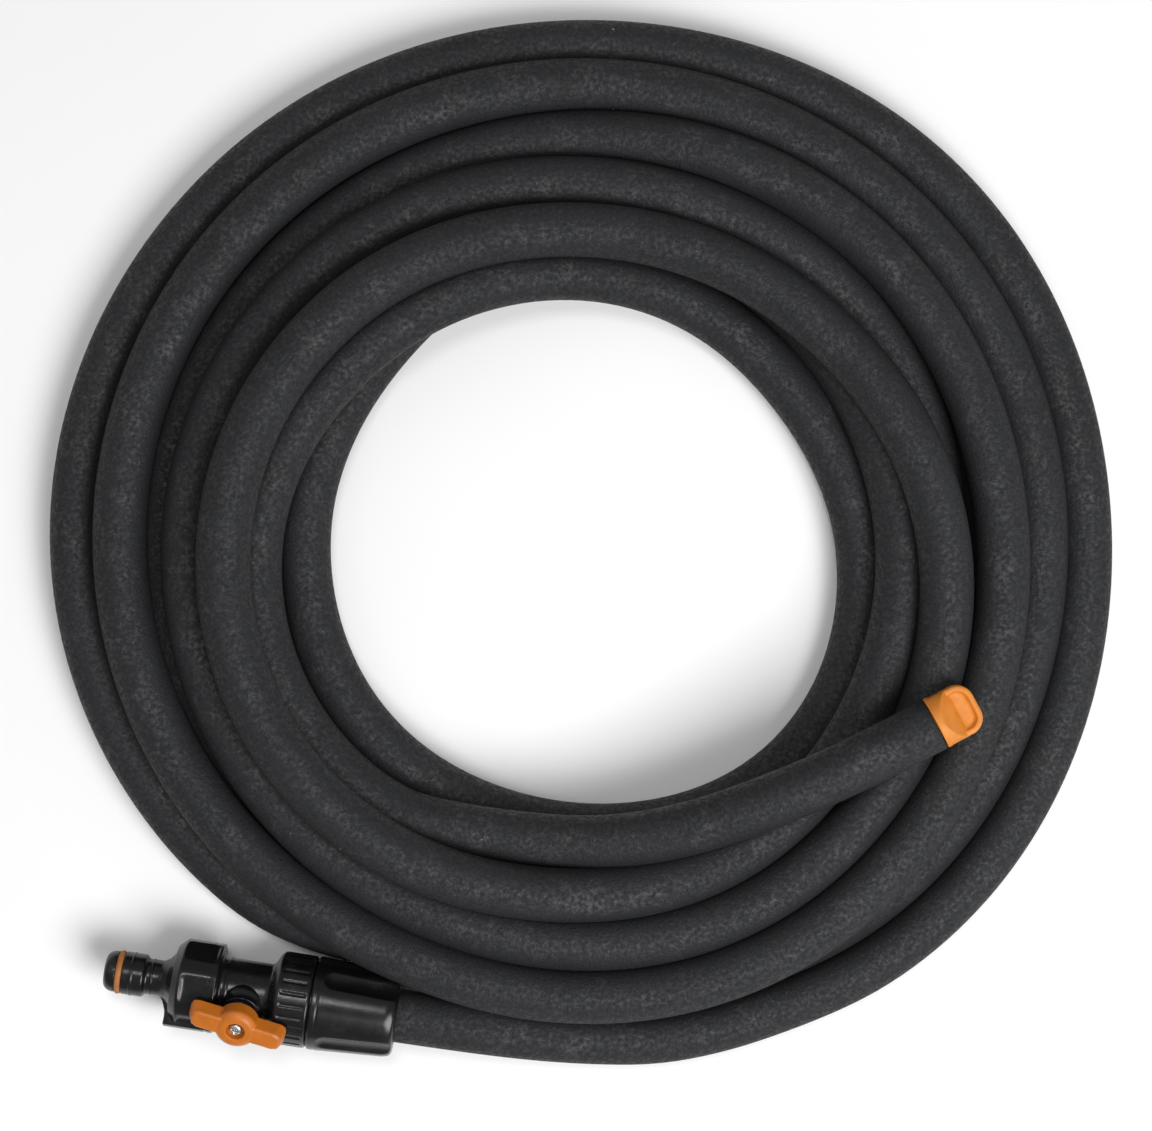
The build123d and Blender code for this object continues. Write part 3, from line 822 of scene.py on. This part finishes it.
# End plug: barb, round band sloping down to a rounded tab, with a finger ramp in its upper face.
PLUG_BAND, PLUG_LENGTH, TAB_HALF, TAB_THICK, TIP_CORNER = 3.0, 16.6, 9.3, 3.4, 6.2
PLUG_R, RAMP_SLOPE = 9.75, 1.22
plug_out = joint_line("plug_pull")[1]
plug_frame = frame_at(MM * Vector(TAIL_ROUTE[-1]), Vector((0, 0, 1)).cross(plug_out), plug_out)


def tab_loop(inset, rear, height, ramp):
    """One loop of the tab's skin, this far in from its edge."""
    half, tip = TAB_HALF - inset, PLUG_LENGTH - inset
    corner = max(TIP_CORNER - inset, 1.2)
    loop = [(-half, rear + (tip - corner - rear) * k / 8) for k in range(8)]
    for side in (-1, 1):
        for k in range(13):
            turn = math.radians(90 * k / 12)
            c, d = (math.cos(turn), math.sin(turn)) if side < 0 else (math.sin(turn), math.cos(turn))
            loop.append((side * (half - corner + corner * c), tip - corner + corner * d))
    loop += [(half, rear + (tip - corner - rear) * k / 8) for k in range(7, -1, -1)]
    loop += [(half - 2 * half * k / 9, rear) for k in range(1, 9)]
    return [(x, height - ramp * fade(z, PLUG_BAND + 1.5, PLUG_LENGTH - 4.5), z) for x, z in loop]


def plug_ramps(x, r, angle):
    """Two flat ramps, upper and lower, cut the round band down to the tab's recess."""
    if x > PLUG_BAND - 1.0:
        level = PLUG_R - RAMP_SLOPE * (x - PLUG_BAND)
        on_ramp = soft_min(PLUG_R, level, 0.9) / max(abs(math.cos(angle)), 1e-3)
        r = min(r, on_ramp, TAB_HALF / max(abs(math.sin(angle)), 1e-3))
    return x, r


plug_mesh = bmesh.new()
rear = PLUG_BAND - 1.0
# The tab's skin, from the middle of its recess out and round to its underside:
# (in from the edge, where the loop's rear lies, height, how deep the finger ramp sinks it).
TAB_SKIN = [
    (6.0, PLUG_BAND + 5.0, TAB_THICK, 1.75),
    (3.8, PLUG_BAND + 3.8, TAB_THICK, 1.75),
    (2.8, PLUG_BAND + 3.1, TAB_THICK, 1.6),
    (2.35, PLUG_BAND + 2.7, TAB_THICK, 1.0),
    (2.1, PLUG_BAND + 2.5, TAB_THICK, 0.25),
    (1.8, PLUG_BAND + 2.3, TAB_THICK, 0.0),
    (1.0, rear, TAB_THICK, 0.0),
    (0.5, rear, TAB_THICK - 0.12, 0.0),
    (0.15, rear, TAB_THICK - 0.5, 0.0),
    (0.0, rear, TAB_THICK - 1.1, 0.0),
    (0.0, rear, 1.1 - TAB_THICK, 0.0),
    (0.15, rear, 0.5 - TAB_THICK, 0.0),
    (0.5, rear, 0.12 - TAB_THICK, 0.0),
    (1.1, rear, -TAB_THICK, 0.0),
    (6.0, rear + 2, -TAB_THICK, 0.0),
]
loops = [tab_loop(*row) for row in TAB_SKIN]
loop_verts = [[plug_mesh.verts.new(plug_frame @ (MM * Vector(point))) for point in loop] for loop in loops]
for one, two in zip(loop_verts, loop_verts[1:]):
    for k in range(len(one)):
        plug_mesh.faces.new((one[k], one[(k + 1) % len(one)], two[(k + 1) % len(one)], two[k]))
plug_mesh.faces.new(loop_verts[0])
plug_mesh.faces.new(list(reversed(loop_verts[-1])))
turned(
    plug_mesh, plug_frame @ ABOUT_Z,
    [
        (-13.0, 0, 0), (-13.0, 5.2, 0.3), (-9.5, 6.45, 0.15), (-9.35, 5.9, 0.1),
        (-5.5, 6.45, 0.15), (-5.35, 5.9, 0.1), (0.3, 5.9, 0.1), (0.3, 9.55, 0.2),
        (0.7, 9.75, 0.2), (9.4, 9.75, 0.2), (9.5, 0, 0),
    ],
    sides=256, step=0.25, shape=plug_ramps, closed=False,
)
plug = ride_as(piece_from("tab_plug", plug_mesh), "plug", PLUG, replaces=("end_plug",))

REPLACED = (
    "hose_lead", "hose_coil", "hose_tail", "tap_adaptor", "valve_body", "collar_nut",
    "handle", "handle_screw", "end_plug",
)
for part in frame["record"]["subparts"]:
    if part["node"] not in REPLACED:
        finish_cad_node(part["node"], part["material_slot"])

# ---- floor and light ----


def floor():
    look = Look("pale_floor", roughness=0.85, Specular_IOR_Level=0.2)
    clouds = look.noise(look.place(), 7, 3.0)
    grain = look.noise(look.place(), 420, 2.0)
    base = look.ramp(clouds, (0.3, (0.86, 0.86, 0.86)), (0.7, (0.88, 0.88, 0.88)))
    look.set(Base_Color=base, Normal=look.bump(grain, 0.00003, 0.3))
    mesh = bpy.data.meshes.new("floor")
    reach = 6.0
    corners = [(-reach, -reach, 0), (reach, -reach, 0), (reach, reach, 0), (-reach, reach, 0)]
    mesh.from_pydata(corners, [], [(0, 1, 2, 3)])
    mesh.materials.append(look.material)
    made = bpy.data.objects.new("floor", mesh)
    made.location.z = -0.0002
    bpy.context.scene.collection.objects.link(made)


def lamp(name, place, aim, width, height, power):
    data = bpy.data.lights.new(name, "AREA")
    data.shape = "RECTANGLE"
    data.size, data.size_y, data.energy = width, height, power
    made = bpy.data.objects.new(name, data)
    made.location = place
    made.rotation_mode = "QUATERNION"
    made.rotation_quaternion = (Vector(aim) - Vector(place)).to_track_quat("-Z", "Y")
    bpy.context.scene.collection.objects.link(made)


floor()
lamp("key", (0.56, -0.62, 1.15), (0.04, -0.04, 0), 0.8, 0.8, 19.5)
lamp("overhead", (-0.1, 0.32, 1.7), (-0.05, -0.02, 0), 0.34, 0.34, 5.5)
lamp("fill", (-1.3, 0.5, 1.5), (0, 0, 0), 1.4, 1.4, 3)

world = bpy.data.worlds.new("studio")
world.use_nodes = True
world.node_tree.nodes["Background"].inputs["Color"].default_value = (1.0, 1.0, 1.0, 1)
world.node_tree.nodes["Background"].inputs["Strength"].default_value = 0.29
bpy.context.scene.world = world
bpy.context.scene.view_settings.view_transform = "Standard"
